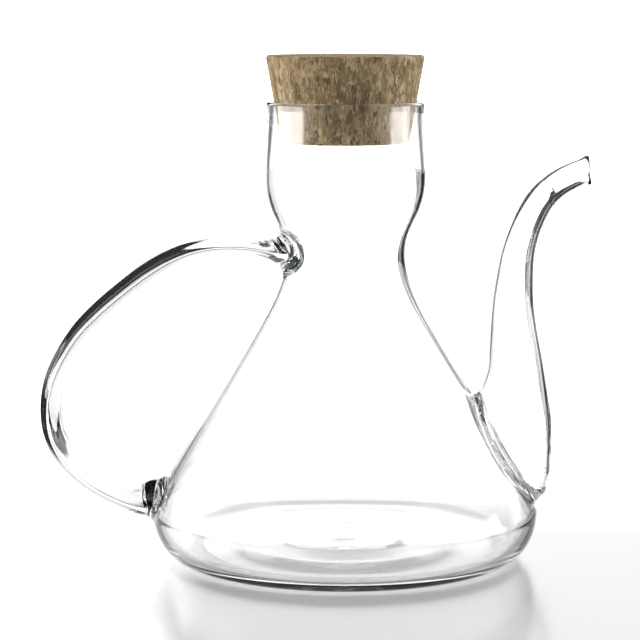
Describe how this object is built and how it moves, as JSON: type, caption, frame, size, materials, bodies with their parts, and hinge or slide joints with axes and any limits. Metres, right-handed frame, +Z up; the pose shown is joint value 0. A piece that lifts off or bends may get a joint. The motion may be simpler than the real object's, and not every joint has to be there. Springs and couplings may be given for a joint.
{
  "type": "oil cruet",
  "caption": "Clear glass oil cruet with a conical body, narrow waist, curved side spout, strap handle and tapered cork stopper.",
  "frame": {"origin": "centre of the flat underside, on the axis of the body", "axes": "+Z up along the axis of the body, +X towards the pouring spout, -X towards the handle, both in the plane Y = 0"},
  "size_m": [0.1622, 0.115, 0.1487],
  "materials": {
    "glass": "clear, flame polished",
    "cork": "matt pressed cork granules"
  },
  "bodies": {
    "root": {"glass": "glass", "cork": "cork"}
  },
  "joints": []
}
